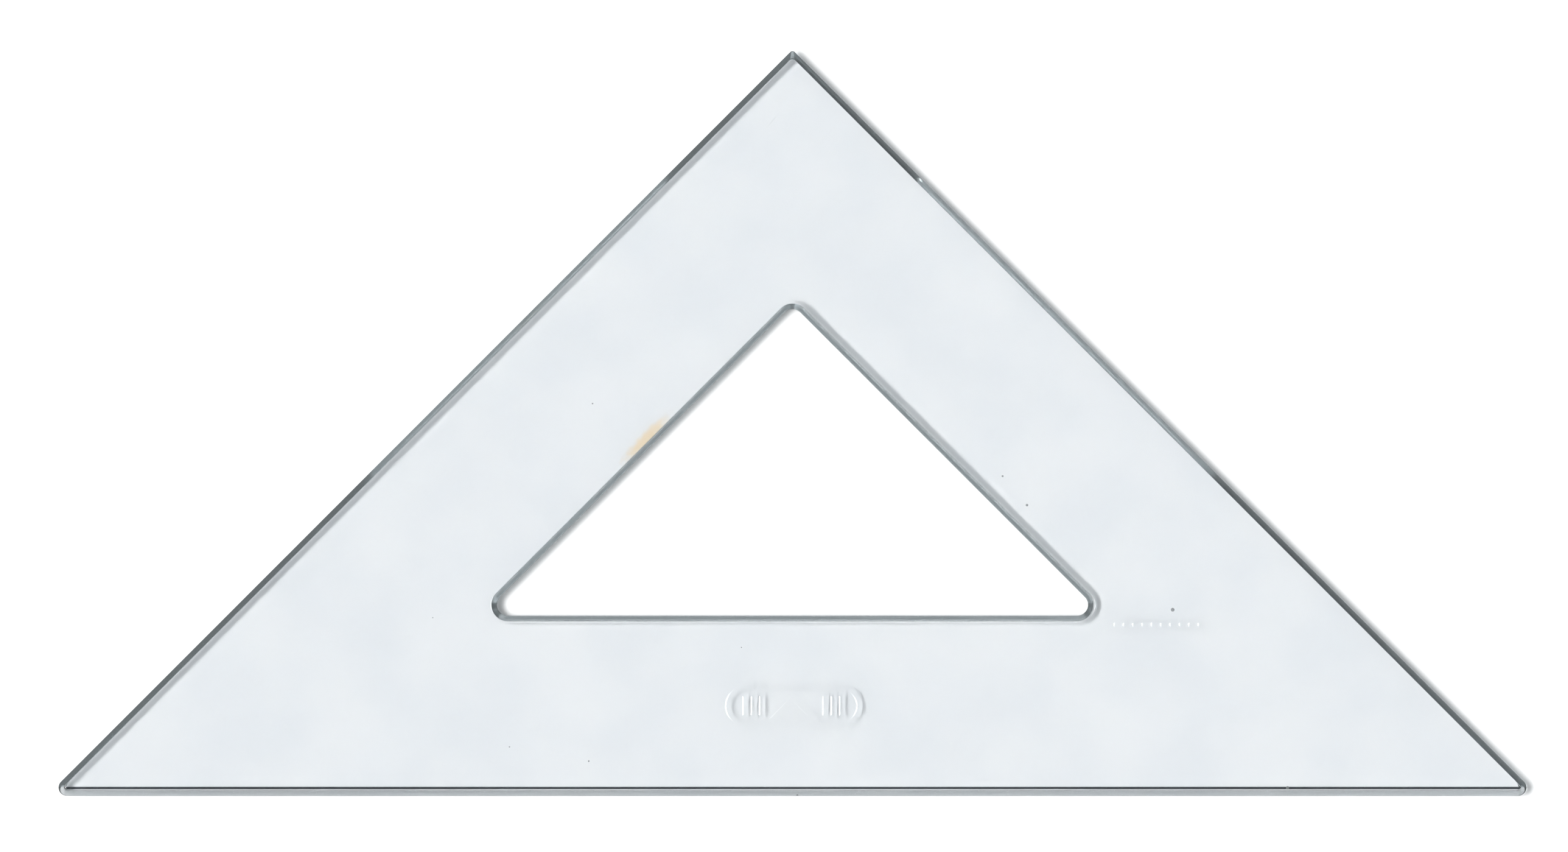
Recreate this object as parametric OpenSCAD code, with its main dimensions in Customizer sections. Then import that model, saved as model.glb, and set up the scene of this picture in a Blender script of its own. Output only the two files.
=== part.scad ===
// A moulded clear plastic 45 degree set square: a flat right-angled triangle with a rounded triangular
// cut-out and two groups of shallow raised marks on its top face. Every edge, outside and round the
// cut-out, ends in a thin lip: a ledge steps down to it from the top face, and a bevel cuts in under it,
// which keeps the ruling edge off the paper and stops ink from running under it.
// The long edge lies along X, the right-angled corner points to +Y and the underside is at z = 0.
// The origin is under the middle of the box that holds the whole part.

/* [Outline] */
// Length of each of the two equal legs, measured to the sharp corners
leg_length = 203.2; // [180:0.1:260]
// Rounding of the two 45 degree corners
base_corner_r = 1.6; // [1.2:0.1:4]
// Rounding of the right-angled corner
apex_corner_r = 0.6; // [0.4:0.1:4]

/* [Edge section] */
// Thickness of the plate
plate_t = 2.2; // [1.8:0.1:3]
// Width of the ledge above the lip and of the bevel below it
ledge_w = 1.1; // [0.6:0.1:1.2]
// Height of the bevel, from the underside to the lip
bevel_h = 1.1; // [0.6:0.1:1.2]
// Thickness of the lip
lip_t = 0.3; // [0.2:0.05:0.5]
// Rounding of the plate's 45 degree corners, inside the ledge
plate_base_r = 0.5; // [0.3:0.1:2]
// Rounding of the plate's right-angled corner, inside the ledge
plate_apex_r = 0.9; // [0.3:0.1:2]

/* [Cut-out] */
// Width of the plastic between the outline and the cut-out, the same on all three sides
strip_w = 34.7; // [28:0.1:40]
// Rounding of the cut-out's three corners, at the lip
cut_corner_r = 2.1; // [1:0.1:6]

/* [Raised marks] */
// Height of the marks above the top face
mark_h = 0.18; // [0.1:0.01:0.3]
// Width of the raised lines
mark_line_w = 0.7; // [0.3:0.1:1]
// Length of the oval frame
frame_l = 26; // [24:0.5:34]
// Height of the oval frame, across the strip
frame_w = 7.6; // [6:0.1:12]
// Length of the long edge of the small triangle inside the frame
badge_l = 9; // [6:0.5:10]
// Length of each plain bar beside the small triangle
bar_l = 4; // [2:0.5:4]
// Number of plain bars on each side of the small triangle
bar_count = 3; // [1:1:3]
// Number of small studs in the row beside the cut-out
stud_count = 10; // [3:1:14]
// Radius of each small stud
stud_r = 0.6; // [0.3:0.05:0.6]
// Distance from stud to stud
stud_pitch = 1.8; // [1.5:0.1:2]

/* [Hidden] */
$fn = 64;
// Flats that make up each round corner of the three triangles
corner_steps = 16;
plastic = [0.80, 0.87, 0.90, 0.6];
half_base = leg_length * sqrt(2) / 2;
ledge_z = bevel_h + lip_t;
cut_outer_r = cut_corner_r + ledge_w;
top_z = plate_t + mark_h;
// The marks start inside the plate, so that they are one with it
mark_root_z = plate_t / 2;
// Extra length that makes each cutting solid run past the face it opens
past = 1;
// The middle of the box in Y: from the long edge to the rounded right-angled corner
box_mid_y = (half_base - apex_corner_r * (sqrt(2) - 1)) / 2;
// The stud row runs to the right from beside the cut-out's right-hand corner
cut_half = half_base - strip_w * (1 + sqrt(2));
stud_gap = 2.5;
stud_drop = 1.7;
// The small triangle hangs a little below the frame's centre line, and the bars stand beside it
badge_drop = 0.25;
bar_pitch = 1.6;

// Points along an arc about [x, y], from one angle to another.
function arc(x, y, r, from, to) =
    [for (i = [0 : corner_steps]) let (a = from + (to - from) * i / corner_steps)
        [x + r * cos(a), y + r * sin(a)]];

// The outline of a right-angled isosceles triangle with round corners. Its sides lie inset inside the
// sharp outline, and its long side is along X.
function outline(inset, base_r, apex_r) =
    let (
        half = half_base - inset * (1 + sqrt(2)),
        base_x = half - base_r * (1 + sqrt(2)),
        base_y = inset + base_r,
        apex_y = inset + half - apex_r * sqrt(2)
    )
    concat(
        arc(base_x, base_y, base_r, -90, 45),
        arc(0, apex_y, apex_r, 45, 135),
        arc(-base_x, base_y, base_r, 135, 270)
    );

// A solid whose sides run straight from one outline at z_low to another, with as many points, at z_high.
module loft(low, high, z_low, z_high) {
    n = len(low);
    polyhedron(
        points = concat([for (p = low) [p.x, p.y, z_low]], [for (p = high) [p.x, p.y, z_high]]),
        faces = concat(
            [[for (i = [0 : n - 1]) i]],
            [for (i = [0 : n - 1]) [n + (i + 1) % n, (i + 1) % n, i]],
            [for (i = [0 : n - 1]) [n + i, n + (i + 1) % n, i]],
            [[for (i = [n - 1 : -1 : 0]) n + i]]
        )
    );
}

// A straight slot shape with round ends, centred on the origin and lying along X.
module oval(length, width) {
    square([length - width, width], center = true);
    for (side = [-1, 1]) translate([side * (length - width) / 2, 0]) circle(width / 2);
}

// The sharp outline of a small triangle like the part itself, with its long side along X at y = 0.
module small_triangle(length) {
    polygon([[-length / 2, 0], [length / 2, 0], [0, length / 2]]);
}

// The oval frame with a small open triangle in it and a group of plain bars on each side.
module framed_badge() {
    difference() {
        oval(frame_l, frame_w);
        oval(frame_l - 2 * mark_line_w, frame_w - 2 * mark_line_w);
    }
    translate([0, -badge_l / 4 - badge_drop]) difference() {
        small_triangle(badge_l);
        translate([0, mark_line_w]) small_triangle(badge_l - 2 * mark_line_w * (1 + sqrt(2)));
    }
    for (side = [-1, 1]) for (i = [1 : bar_count])
        translate([side * (badge_l / 2 + i * bar_pitch), 0]) rotate(90) oval(bar_l, mark_line_w);
}

module stud_row() {
    for (i = [0 : stud_count - 1])
        translate([cut_half + stud_gap + i * stud_pitch, strip_w - stud_drop]) circle(stud_r);
}

// The full-thickness plate, with the bevel and the lip that stand out round it.
module plate_with_lip() {
    at_lip = outline(0, base_corner_r, apex_corner_r);
    at_plate = outline(ledge_w, plate_base_r, plate_apex_r);
    linear_extrude(plate_t) polygon(at_plate);
    loft(at_plate, at_lip, 0, bevel_h);
    translate([0, 0, bevel_h]) linear_extrude(lip_t) polygon(at_lip);
}

// The opening: narrow at the lip, one ledge wider above it, and bevelled out to the same width below.
module cut_out() {
    at_lip = outline(strip_w, cut_corner_r, cut_corner_r);
    at_plate = outline(strip_w - ledge_w, cut_outer_r, cut_outer_r);
    translate([0, 0, -past]) linear_extrude(plate_t + 2 * past) polygon(at_lip);
    translate([0, 0, ledge_z]) linear_extrude(plate_t - ledge_z + past) polygon(at_plate);
    loft(at_plate, at_lip, 0, bevel_h);
}

module set_square() {
    color(plastic) translate([0, -box_mid_y, 0]) {
        difference() {
            plate_with_lip();
            cut_out();
        }
        translate([0, 0, mark_root_z]) linear_extrude(top_z - mark_root_z) {
            translate([0, strip_w / 2]) framed_badge();
            stud_row();
        }
    }
}

set_square();
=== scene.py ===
"""A moulded clear plastic 45 degree set square lying flat on a pale surface, seen from straight above.

The CAD node gives the size and the place. One finer mesh stands for it here: it has the same outline,
lip, ledge and cut-out, with the small roundings that a moulding has. Its undercuts are a little wider
than the CAD's bevel, and flatter on the long edge, and its raised marks are a little lower.
Lengths are in millimetres and become metres through MM.
"""
import math

import bmesh
import bpy
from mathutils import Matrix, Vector


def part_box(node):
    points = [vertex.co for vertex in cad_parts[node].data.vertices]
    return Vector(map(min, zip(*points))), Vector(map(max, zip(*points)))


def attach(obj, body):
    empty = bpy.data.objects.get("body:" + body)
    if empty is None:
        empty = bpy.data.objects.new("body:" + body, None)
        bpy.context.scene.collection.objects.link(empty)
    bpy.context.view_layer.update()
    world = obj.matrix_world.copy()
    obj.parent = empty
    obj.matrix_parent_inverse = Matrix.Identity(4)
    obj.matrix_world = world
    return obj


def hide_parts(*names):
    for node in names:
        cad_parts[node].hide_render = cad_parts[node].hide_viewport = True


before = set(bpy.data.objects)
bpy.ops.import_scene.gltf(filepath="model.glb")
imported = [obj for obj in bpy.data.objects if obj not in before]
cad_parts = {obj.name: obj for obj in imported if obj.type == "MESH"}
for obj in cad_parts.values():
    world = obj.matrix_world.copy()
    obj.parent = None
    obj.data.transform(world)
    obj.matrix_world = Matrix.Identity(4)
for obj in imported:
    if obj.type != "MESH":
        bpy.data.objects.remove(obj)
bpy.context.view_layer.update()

MM = 0.001
ROOT2 = math.sqrt(2)

# ---------------------------------------------------------------- sizes, in mm
NODE = "set_square"
LOW, HIGH = (Vector(corner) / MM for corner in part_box(NODE))

# The outline: a right-angled triangle with its long side along X
BASE_R = 1.6                                    # rounding of the 45 degree corners
APEX_R = 0.6                                    # rounding of the right-angled corner
HALF = (HIGH.x - LOW.x) / 2 + BASE_R * ROOT2    # half of the long side, to its sharp corners
LONG_EDGE_Y = LOW.y
CORNER_STEPS = 20                               # flats that make up each round corner

# The section through an edge
MARK_H = 0.18                                   # height of the raised marks
PLATE_T = HIGH.z - MARK_H
LEDGE_W = 1.1                                   # width of the ledge above the lip
LEDGE_Z = 1.4
BEVEL_W, BEVEL_H = 1.2, 1.1                     # bevel that undercuts the lip
UNDERCUT_W, UNDERCUT_H = 1.74, 0.8              # the flatter undercut of the long edge
HEEL = 0.22                                     # the inner part of that undercut, which is at 45 degrees
KEEN = 0.03                                     # size of the tiny flats that keep the sharp corners crisp
LIP_R, FOOT_R, SHOULDER_R = 0.07, 0.1, 0.42     # roundings of the lip's top, the step's foot and its top
LONG_EDGE_SHADE_SHARE = 0.3                            # how much painted edge shade, frost and streaking the long edge gets, beside 1 for the other edges
LEDGE_BASE_R = 0.5                              # rounding of the 45 degree corners, inside the ledge
LEDGE_APEX_R = 0.9                              # rounding of the right-angled corner, inside the ledge

# The cut-out
STRIP_W = 34.7                                  # width of the plastic on all three sides of it
CUT_R = 2.1                                     # rounding of its corners, at the lip
CUT_HALF = HALF - STRIP_W * (1 + ROOT2)         # half of its long side, to its sharp corners

# The raised marks
LINE_W = 0.7
FRAME_L, FRAME_W = 26, 7.6
BADGE_L = 9
BADGE_DROP = 0.25
BAR_L = 4
BAR_PITCH = 1.6
BARS = 3                                        # bars on each side of the badge
STUD_COUNT, STUD_R, STUD_PITCH = 10, 0.6, 1.8
STUD_GAP, STUD_DROP = 2.5, 1.7
MARK_ROOT_Z = PLATE_T / 2                       # the marks start inside the plate
# The slope up a worn mark: how far in from its outline, and the share of MARK_H reached there
MARK_RISE = [(0, 0.05), (0.12, 0.4), (0.25, 0.67), (0.49 * LINE_W, 0.8)]


# ---------------------------------------------------------------- mesh helpers
def arc(x, y, r, start, end, steps):
    """Points (x, y) along an arc, from one angle in degrees to another."""
    angles = [math.radians(start + (end - start) * i / steps) for i in range(steps + 1)]
    return [(x + r * math.cos(a), y + r * math.sin(a)) for a in angles]


def outline(leg_inset, base_r, apex_r, long_inset=None):
    """The set square's outline with round corners, its sides moved inwards by the insets."""
    if long_inset is None:
        long_inset = leg_inset
    half = HALF - long_inset - leg_inset * ROOT2
    base_x = half - base_r * (1 + ROOT2)
    base_y = LONG_EDGE_Y + long_inset + base_r
    apex_y = LONG_EDGE_Y + long_inset + half - apex_r * ROOT2
    return (
        arc(base_x, base_y, base_r, -90, 45, CORNER_STEPS)
        + arc(0, apex_y, apex_r, 45, 135, CORNER_STEPS)
        + arc(-base_x, base_y, base_r, 135, 270, CORNER_STEPS)
    )


def level(points, z):
    return [(x, y, z) for x, y in points]


def add_rings(bm, rings, join_ends):
    """Joins rings of equally many points with quads. join_ends closes the tube; otherwise caps close it."""
    rows = [[bm.verts.new(Vector(point) * MM) for point in ring] for ring in rings]
    pairs = list(zip(rows, rows[1:]))
    if join_ends:
        pairs.append((rows[-1], rows[0]))
    else:
        bm.faces.new(rows[0])
        bm.faces.new(rows[-1])
    for low, high in pairs:
        for i in range(len(low)):
            j = (i + 1) % len(low)
            bm.faces.new((low[i], low[j], high[j], high[i]))


def new_piece(bm, name):
    bmesh.ops.recalc_face_normals(bm, faces=bm.faces)
    mesh = bpy.data.meshes.new(name)
    bm.to_mesh(mesh)
    bm.free()
    piece = bpy.data.objects.new(name, mesh)
    bpy.context.scene.collection.objects.link(piece)
    return piece


# ---------------------------------------------------------------- the moulding
def edge_section(under_w, under_h, heel_h):
    """(inset, z) pairs up one edge, from the flat underside round the lip to the flat top face.

    Each flat begins and ends with a strip of width support, which keeps its shading level.
    """
    support = 0.1
    underside = [(under_w + support, 0), (under_w + KEEN, 0), (under_w, 0.2 * KEEN), (under_w - KEEN, KEEN)]
    undercut = [(under_w - HEEL, heel_h), (2 * KEEN, under_h - 2 * KEEN)]
    lip = [(KEEN / 2, under_h), (0, under_h + KEEN)] + arc(LIP_R, LEDGE_Z - LIP_R, LIP_R, 180, 90, 6)
    ledge = [(LIP_R + support, LEDGE_Z), (LEDGE_W - FOOT_R - support, LEDGE_Z)]
    foot = arc(LEDGE_W - FOOT_R, LEDGE_Z + FOOT_R, FOOT_R, 270, 360, 5)
    shoulder = arc(LEDGE_W + SHOULDER_R, PLATE_T - SHOULDER_R, SHOULDER_R, 180, 90, 9)
    top_face = [(LEDGE_W + SHOULDER_R + support, PLATE_T)]
    return underside + undercut + lip + ledge + foot + shoulder + top_face


def corner_radii(inset):
    """Radii of the 45 degree corners and the right-angled one, which change across the ledge."""
    across = min(inset / LEDGE_W, 1)
    beyond = max(inset - LEDGE_W, 0) / 2
    base_r = BASE_R + (LEDGE_BASE_R - BASE_R) * across - beyond
    apex_r = APEX_R + (LEDGE_APEX_R - APEX_R) * across - beyond
    return base_r, apex_r


def long_edge_share():
    """For each point of an outline, how far its section is that of the long edge: 1 there, 0 on the legs."""
    rise = [i / CORNER_STEPS for i in range(CORNER_STEPS + 1)]
    return rise[::-1] + [0] * len(rise) + rise


def outer_ring(leg, long_edge):
    """One ring round the outside, given its (inset, z) on the legs and on the long edge."""
    (leg_inset, leg_z), (long_inset, long_z) = leg, long_edge
    base_r, apex_r = corner_radii(max(leg_inset, long_inset))
    points = outline(leg_inset, base_r, apex_r, long_inset)
    return [(x, y, leg_z + (long_z - leg_z) * share) for (x, y), share in zip(points, long_edge_share())]


def plate():
    """The whole moulding but its marks: up the outer edges, over the top face and down the cut-out."""
    leg = edge_section(BEVEL_W, BEVEL_H, HEEL * BEVEL_H / BEVEL_W)
    long_edge = edge_section(UNDERCUT_W, UNDERCUT_H, HEEL)
    rings = [outer_ring(*pair) for pair in zip(leg, long_edge)]
    for inset, z in reversed(leg):
        rings.append(level(outline(STRIP_W - inset, CUT_R + inset, CUT_R + inset), z))
    bm = bmesh.new()
    add_rings(bm, rings, join_ends=True)
    return new_piece(bm, "set_square_moulding")


# ---------------------------------------------------------------- the raised marks
def oval(x, y, length, width):
    """A function that gives a straight slot shape with round ends, moved inwards by inset."""
    def at(inset):
        reach = (length - width) / 2
        r = width / 2 - inset
        return arc(x + reach, y, r, -90, 90, 16) + arc(x - reach, y, r, 90, 270, 16)
    return at


def upright(x, y, length, width):
    """The same slot shape, standing along Y."""
    lying = oval(y, -x, length, width)
    return lambda inset: [(-across, along) for along, across in lying(inset)]


def small_triangle(x, y, length):
    """A function that gives a right-angled triangle on its long side, moved inwards by inset."""
    def at(inset):
        half = length / 2 - inset * (1 + ROOT2)
        low = y + inset
        return [(x - half, low), (x + half, low), (x, low + half)]
    return at


def flank(inset_from=0, turn=1):
    """(inset, z) pairs of one side of a mark, from inside the plate up its slope to its top."""
    rise = [(0, MARK_ROOT_Z)] + [(inset, PLATE_T + share * MARK_H) for inset, share in MARK_RISE]
    return [(inset_from + turn * inset, z) for inset, z in rise]


def raised_line(name, shape):
    """A closed line of width LINE_W that follows the shape."""
    section = flank() + list(reversed(flank(LINE_W, -1)))
    bm = bmesh.new()
    add_rings(bm, [level(shape(inset), z) for inset, z in section], join_ends=True)
    return new_piece(bm, name)


def raised_pad(name, shape):
    """A filled mark."""
    bm = bmesh.new()
    add_rings(bm, [level(shape(inset), z) for inset, z in flank()], join_ends=False)
    return new_piece(bm, name)


def marks():
    middle_y = LONG_EDGE_Y + STRIP_W / 2
    stud_y = LONG_EDGE_Y + STRIP_W - STUD_DROP
    pieces = [
        raised_line("frame_mark", oval(0, middle_y, FRAME_L, FRAME_W)),
        raised_line("badge_mark", small_triangle(0, middle_y - BADGE_L / 4 - BADGE_DROP, BADGE_L)),
    ]
    for i in range(1, BARS + 1):
        bar_x = BADGE_L / 2 + i * BAR_PITCH
        pieces += [raised_pad("bar_mark", upright(x, middle_y, BAR_L, LINE_W)) for x in (-bar_x, bar_x)]
    for i in range(STUD_COUNT):
        stud_x = CUT_HALF + STUD_GAP + i * STUD_PITCH
        pieces.append(raised_pad("stud_mark", oval(stud_x, stud_y, 2 * STUD_R, 2 * STUD_R)))
    return pieces


def join_marks(body, pieces):
    """Makes the marks one with the moulding, so that light passes between them without a seam."""
    bm = bmesh.new()
    for piece in pieces:
        bm.from_mesh(piece.data)
        bpy.data.objects.remove(piece)
    tool = new_piece(bm, "all_marks")
    union = body.modifiers.new("marks", "BOOLEAN")
    union.operation = "UNION"
    union.solver = "EXACT"
    union.object = tool
    shaped = body.evaluated_get(bpy.context.evaluated_depsgraph_get())
    mesh = bpy.data.meshes.new_from_object(shaped)
    body.modifiers.clear()
    body.data = mesh
    bpy.data.objects.remove(tool)


def shade(body, smooth_angle=32):
    for polygon in body.data.polygons:
        polygon.use_smooth = True
    body.data.set_sharp_from_angle(angle=math.radians(smooth_angle))


def mark_edges(body):
    """Two values on each face, which the material reads.

    edge is 1 on the edges, less along the clearer long edge, and 0 elsewhere; it carries the painted edge
    shade, the frost and the edge streaks. The second value is 1 on the lowest strip of every undercut. It
    paints that strip dark, as painted shade for the dark shade line inside the long edge, which refraction
    alone doesn't give.
    """
    flat = 0.001
    painted_line_top = 0.6 * HEEL
    edges = body.data.attributes.new("edge", "FLOAT", "FACE")
    painted_shade_line = body.data.attributes.new("painted_shade_line", "FLOAT", "FACE")
    for polygon, edge, line_shade in zip(body.data.polygons, edges.data, painted_shade_line.data):
        _, y, z = polygon.center / MM
        if flat < z < LEDGE_Z + KEEN:
            edge.value = LONG_EDGE_SHADE_SHARE if y < LONG_EDGE_Y + UNDERCUT_W else 1.0
            # Painted shade: a dark line on the lowest strip of each undercut
            line_shade.value = 1.0 if KEEN < z < painted_line_top else 0.0


# ---------------------------------------------------------------- materials
# These values were fitted by trial to the look. None is a measurement of the real plastic or light.
PLASTIC_IOR = 1.57
STAIN_PLACE = (-28.3, -2.9, 15, 2.6)            # x, y, length and width in mm: beside the cut-out
SCUFF_PLACE = (1, 57, 16, 9)                    # the same: near the right-angled corner
STAIN_COVER = 0.85
CLEAR_DARKER, CLEAR_LIGHTER = (0.785, 0.799, 0.813, 1), (0.810, 0.820, 0.829, 1)
STAIN_BROWN = (0.80, 0.70, 0.55, 1)
# Painted shade: the grey that darkens the edge bands
EDGE_SHADE_GREY = (0.45, 0.50, 0.52, 1)
# Painted shade: the dark line on the lowest strip of each undercut
PAINTED_SHADE_BLACK = (0.05, 0.06, 0.07, 1)
SCUFF_GREY = (0.66, 0.68, 0.69, 1)
DUST_GREY = (0.40, 0.41, 0.42, 1)
DEPTH_TINT = (0.62, 0.67, 0.684, 1)             # what light keeps on its way through the plastic
EDGE_FROST, PAINTED_SHADE_COVER = 0.15, 0.65            # shares of the light that the frost scatters and that the painted shade line stops
FLOOR_WHITE = (0.9, 0.9, 0.9, 1)
LAMP_COLOUR = (1, 0.997, 0.994, 1)
DOME_COLOUR = (0.955, 1, 1.02, 1)


class Nodes:
    """Short calls that add nodes to one material or world."""

    def __init__(self, tree):
        self.nodes, self.links = tree.nodes, tree.links

    def add(self, kind, inputs=None, **settings):
        node = self.nodes.new("ShaderNode" + kind)
        for key, value in settings.items():
            setattr(node, key, value)
        for key, value in (inputs or {}).items():
            if isinstance(value, bpy.types.NodeSocket):
                self.links.new(value, node.inputs[key])
            else:
                node.inputs[key].default_value = value
        return node

    def math(self, operation, *values):
        return self.add("Math", dict(enumerate(values)), operation=operation).outputs[0]

    def range(self, value, low, high, to_low=0.0, to_high=1.0):
        inputs = {"Value": value, "From Min": low, "From Max": high, "To Min": to_low, "To Max": to_high}
        return self.add("MapRange", inputs, interpolation_type="SMOOTHSTEP").outputs[0]

    def mix(self, share, first, second):
        inputs = {"Factor": share, 6: first, 7: second}
        return self.add("Mix", inputs, data_type="RGBA").outputs[2]

    def mix_value(self, share, first, second):
        return self.add("Mix", {"Factor": share, "A": first, "B": second}).outputs[0]

    def stretched(self, vector, across, along, turn=0.0):
        """The place scaled apart in X and Y, for a noise that becomes long streaks."""
        inputs = {"Vector": vector, "Angle": turn}
        turned = self.add("VectorRotate", inputs, rotation_type="Z_AXIS").outputs[0]
        return self.add("VectorMath", {0: turned, 1: (across, along, 1)}, operation="MULTIPLY").outputs[0]

    def noise(self, vector, scale, detail=2.0):
        return self.add("TexNoise", {"Vector": vector, "Scale": scale, "Detail": detail}).outputs["Fac"]


def dust(n, place, cell, size, kept):
    """Sparse round specks: 1 on a speck, 0 elsewhere. Cells and specks are in metres, kept is a share."""
    cells = n.add("TexVoronoi", {"Vector": place, "Scale": 1 / cell, "Randomness": 1.0})
    chance = n.add("SeparateXYZ", {0: cells.outputs["Color"]}).outputs
    radius = n.math("MULTIPLY", chance["Y"], size / cell)
    inside = n.math("LESS_THAN", cells.outputs["Distance"], radius)
    return n.math("MULTIPLY", inside, n.math("LESS_THAN", chance["X"], kept))


def patch(n, place, x, y, length, width, turn=0.0):
    """A ragged blotch round one point, in millimetres: 1 at its middle, falling to 0 past its edge."""
    centre = Vector((x, y, 0)) * MM
    offset = n.add("VectorMath", {0: place, 1: centre}, operation="SUBTRACT").outputs[0]
    unit = n.stretched(offset, 2 / (length * MM), 2 / (width * MM), turn)
    away = n.add("VectorMath", {0: unit}, operation="LENGTH").outputs["Value"]
    ragged = n.math("MULTIPLY_ADD", n.noise(place, 900, 3), 0.9, away)
    return n.range(ragged, 0.7, 1.5, 1, 0)


def clear_plastic():
    """Clear plastic, faintly smoky: glossy faces, satin edges with painted shade, a painted dark shade line,
    dust, scratches and one old stain.
    """
    material = bpy.data.materials.new("clear_plastic")
    material.use_nodes = True
    n = Nodes(material.node_tree)
    shader = n.nodes["Principled BSDF"]
    shader.inputs["IOR"].default_value = PLASTIC_IOR

    where = n.add("SeparateXYZ", {0: n.add("TexCoord").outputs["Object"]}).outputs
    place = n.add("CombineXYZ", {"X": where["X"], "Y": where["Y"]}).outputs[0]
    edge = n.add("Attribute", attribute_name="edge").outputs["Fac"]

    # Painted shade: 1 on the dark line in the undercuts
    painted_shade_line = n.add("Attribute", attribute_name="painted_shade_line").outputs["Fac"]

    # Fine scratches that all slant one way
    slanting = n.stretched(place, 2600, 60, turn=math.radians(38))
    lines = n.range(n.noise(slanting, 1, 2), 0.64, 0.74)

    # Colour: cloudy by a few parts in a hundred, with a brown stain beside the cut-out, painted shade on
    # the edges and a painted dark shade line in the undercuts, scuffs near the right-angled corner, and dust
    clouds = n.range(n.noise(place, 60, 3), 0.3, 0.7)
    clear = n.mix(clouds, CLEAR_DARKER, CLEAR_LIGHTER)
    stain = n.math("MULTIPLY", patch(n, place, *STAIN_PLACE, math.radians(-45)), STAIN_COVER)
    stained = n.mix(stain, clear, STAIN_BROWN)
    # Painted shade: the edges are darkened towards the grey of their bands
    edge_shaded = n.mix(edge, stained, EDGE_SHADE_GREY)
    # Painted shade: a dark line on the lowest strip of each undercut
    line_shaded = n.mix(painted_shade_line, edge_shaded, PAINTED_SHADE_BLACK)
    scuffs = n.math("MULTIPLY", lines, patch(n, place, *SCUFF_PLACE))
    scuffed = n.mix(scuffs, line_shaded, SCUFF_GREY)
    specks = n.math("MAXIMUM", dust(n, place, 0.005, 0.0003, 0.3), dust(n, place, 0.017, 0.0004, 0.35))
    n.links.new(n.mix(specks, scuffed, DUST_GREY), shader.inputs["Base Color"])

    # The edges are a little frosted, so they also scatter light. The painted shade line stops most light.
    frosted = n.math("MULTIPLY_ADD", edge, -EDGE_FROST, 1.0)
    n.links.new(n.math("MULTIPLY_ADD", painted_shade_line, -PAINTED_SHADE_COVER, frosted), shader.inputs["Transmission Weight"])

    # Roughness: hairline scratches on the faces, and streaks along X on all edges
    along_x = n.stretched(place, 60, 900)
    streaks = n.range(n.noise(along_x, 1, 4), 0.4, 0.7, 0.04, 0.16)
    hairlines = n.math("MULTIPLY", lines, n.range(n.noise(place, 18), 0.5, 0.62, 0, 0.06))
    faces = n.math("MAXIMUM", hairlines, n.range(n.noise(place, 25), 0.3, 0.8, 0.01, 0.04))
    n.links.new(n.mix_value(edge, faces, streaks), shader.inputs["Roughness"])

    # Bump: the slow waviness of a moulded face
    bump = n.add("Bump", {"Height": n.noise(place, 90, 1), "Strength": 0.5, "Distance": 0.000015})
    n.links.new(bump.outputs[0], shader.inputs["Normal"])

    # Depth: the longer the way through the plastic, the darker
    depth = n.add("VolumeAbsorption", {"Color": DEPTH_TINT, "Density": 12})
    n.links.new(depth.outputs[0], n.nodes["Material Output"].inputs["Volume"])
    return material


# ---------------------------------------------------------------- stage, light and camera
def floor(reach=10, gap=0.05 * MM):
    """A matt white sheet, a hair below the plastic so that the two never touch."""
    bm = bmesh.new()
    bmesh.ops.create_grid(bm, x_segments=1, y_segments=1, size=reach)
    piece = new_piece(bm, "floor")
    piece.location.z = -gap
    material = bpy.data.materials.new("floor_white")
    material.use_nodes = True
    shader = material.node_tree.nodes["Principled BSDF"]
    shader.inputs["Base Color"].default_value = FLOOR_WHITE
    shader.inputs["Roughness"].default_value = 1
    shader.inputs["Specular IOR Level"].default_value = 0
    piece.data.materials.append(material)


def bell(n, value):
    """1 where the value is 0, falling off smoothly on both sides."""
    return n.math("EXPONENT", n.math("MULTIPLY", n.math("MULTIPLY", value, value), -1))


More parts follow.
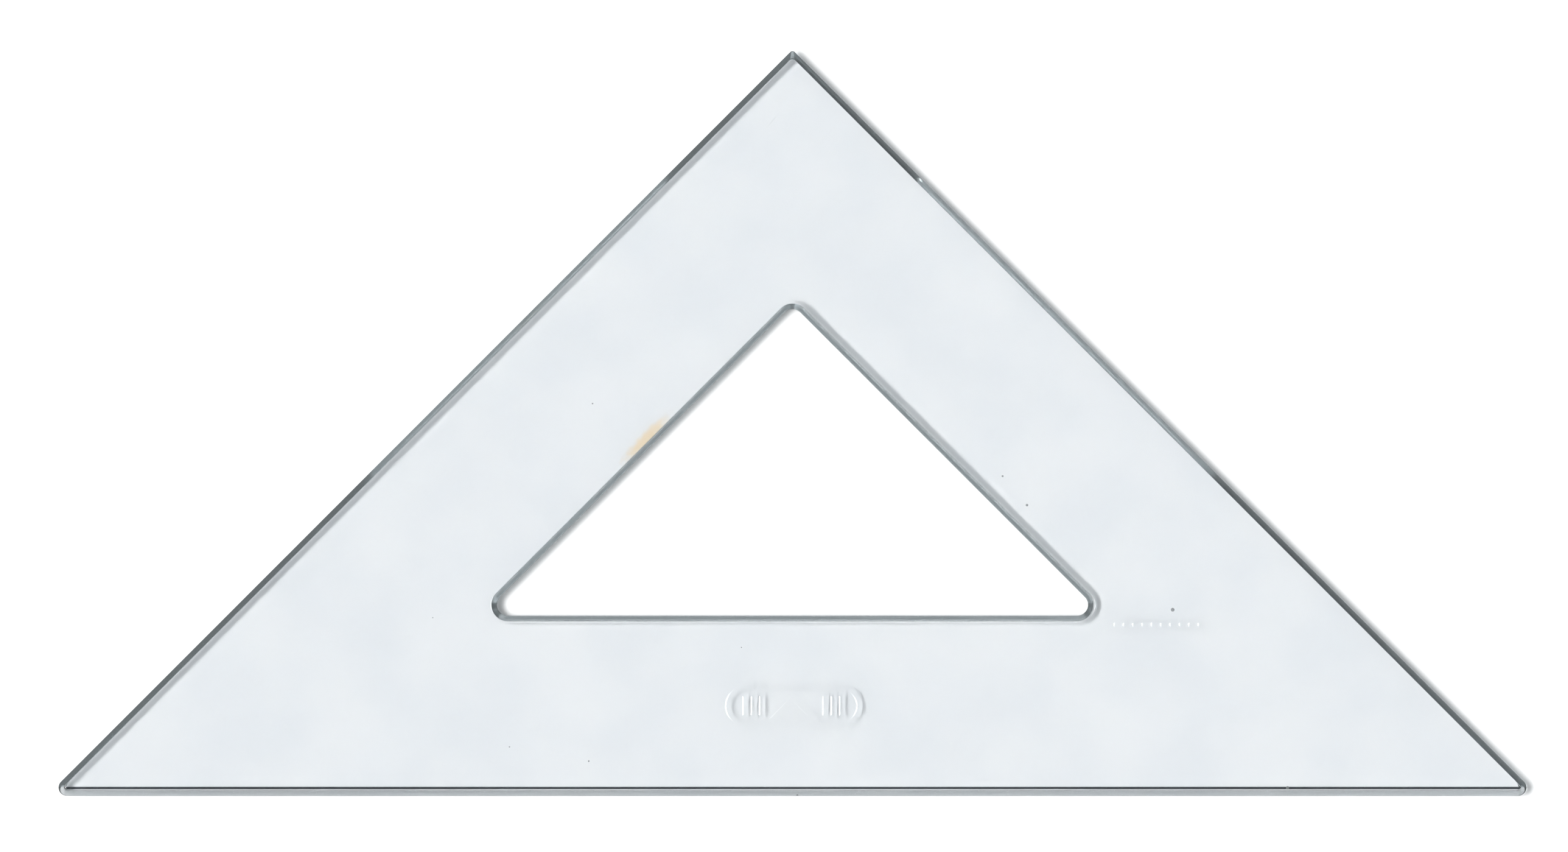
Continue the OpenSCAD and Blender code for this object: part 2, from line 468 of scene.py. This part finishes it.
def sky(fill=0.58, horizon=0.2, key=17.5, lean=-50, spread=14, reach=0.41):
    """A soft dome, darker near the horizon, and a long lamp along Y that leans to the left.

    lean and spread are angles in degrees, reach is the lamp's half length as a share of the dome's radius.
    """
    world = bpy.data.worlds.new("sky")
    bpy.context.scene.world = world
    world.use_nodes = True
    n = Nodes(world.node_tree)
    way = n.add("SeparateXYZ", {0: n.add("TexCoord").outputs["Generated"]})
    turn = n.math("ARCTAN2", way.outputs["X"], way.outputs["Z"])
    off = n.math("DIVIDE", n.math("SUBTRACT", turn, math.radians(lean)), math.radians(spread))
    far = n.math("DIVIDE", way.outputs["Y"], reach)
    lamp = n.math("MULTIPLY", n.math("MULTIPLY", bell(n, off), bell(n, far)), key)
    dome = n.range(way.outputs["Z"], 0.02, 0.45, horizon, fill)
    lamp_light = n.add("Background", {"Color": LAMP_COLOUR, "Strength": lamp}).outputs[0]
    dome_light = n.add("Background", {"Color": DOME_COLOUR, "Strength": dome}).outputs[0]
    both = n.add("AddShader", {0: lamp_light, 1: dome_light}).outputs[0]
    n.links.new(both, n.nodes["World Output"].inputs["Surface"])


def camera(centre=(-1.62, -0.49), span=302.03, distance=3000):
    """Straight above the centre. span is the width seen at the height of the top face."""
    data = bpy.data.cameras.new("camera")
    data.sensor_width = 36
    data.lens = data.sensor_width * (distance - PLATE_T) / span
    data.clip_end = 100
    piece = bpy.data.objects.new("camera", data)
    piece.location = Vector((*centre, distance)) * MM
    bpy.context.scene.collection.objects.link(piece)
    bpy.context.scene.camera = piece


# ---------------------------------------------------------------- put together
LIGHT_BOUNCES = 24                              # light runs far inside the edges before it leaves them

scene = bpy.context.scene
scene.view_settings.view_transform = "Standard"
scene.cycles.blur_glossy = 0
scene.cycles.max_bounces = LIGHT_BOUNCES
scene.cycles.transmission_bounces = LIGHT_BOUNCES

camera()
floor()
sky()

body = plate()
join_marks(body, marks())
shade(body)
mark_edges(body)
body.data.materials.append(clear_plastic())
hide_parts(NODE)
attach(body, "root")
